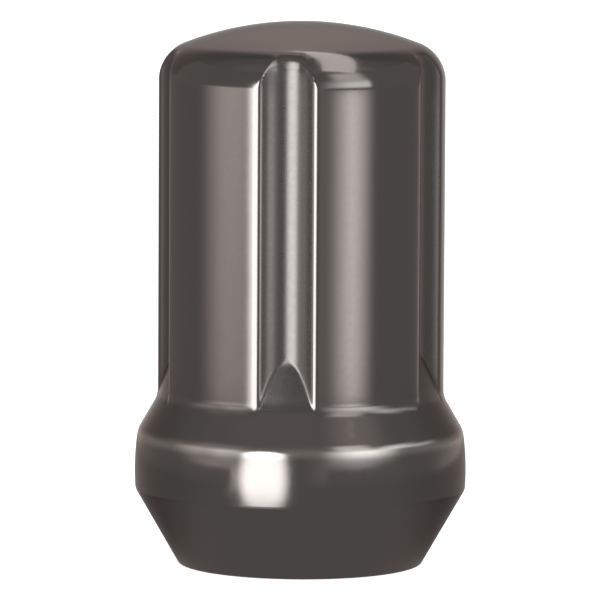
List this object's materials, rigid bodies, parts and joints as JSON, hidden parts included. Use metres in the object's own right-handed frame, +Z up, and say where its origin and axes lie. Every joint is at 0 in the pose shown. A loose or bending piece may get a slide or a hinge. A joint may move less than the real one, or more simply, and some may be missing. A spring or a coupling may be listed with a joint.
{
  "type": "lug nut",
  "caption": "Closed-end wheel lug nut with drive grooves along a round body, a domed top, a flared band and a conical seat round a blind thread.",
  "frame": {"origin": "centre of the flat base face, on the thread's axis", "axes": "+Z up the nut's axis to the domed end; -Y faces the camera of the picture"},
  "size_m": [0.0232, 0.0232, 0.038],
  "materials": {
    "black_chrome": "polished black chrome plating on forged steel"
  },
  "bodies": {
    "root": {"lug_nut": "black_chrome"}
  },
  "joints": []
}
